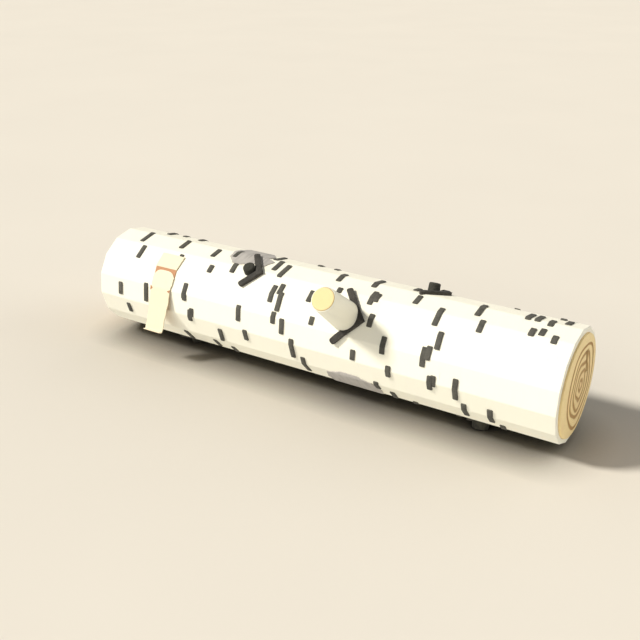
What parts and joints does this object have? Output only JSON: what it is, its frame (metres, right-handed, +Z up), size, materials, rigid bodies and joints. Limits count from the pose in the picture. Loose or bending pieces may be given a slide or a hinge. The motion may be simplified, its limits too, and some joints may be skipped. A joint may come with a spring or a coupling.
{
  "type": "birch log",
  "caption": "Short sawn length of birch trunk lying on its side, with white bark, dark raised dashes and ridges, a sawn branch stub and a torn strip of bark.",
  "frame": {"origin": "centre of the log's footprint, on the ground that it rests on", "axes": "+X along the trunk towards the cut end with the crack, -Y towards the side with the branch stub and the torn strip, +Z up"},
  "size_m": [0.4856, 0.1373, 0.1243],
  "materials": {
    "bark": "matt white birch bark with near-black dashes, ridges and knots and grey-brown worn patches",
    "wood": "sawn end grain with darker growth rings, paler at the branch stub",
    "peeled_bark": "thin cream inner bark with an orange torn edge"
  },
  "bodies": {
    "root": {"bark": "bark", "wood": "wood", "bark_peel": "peeled_bark"}
  },
  "joints": []
}
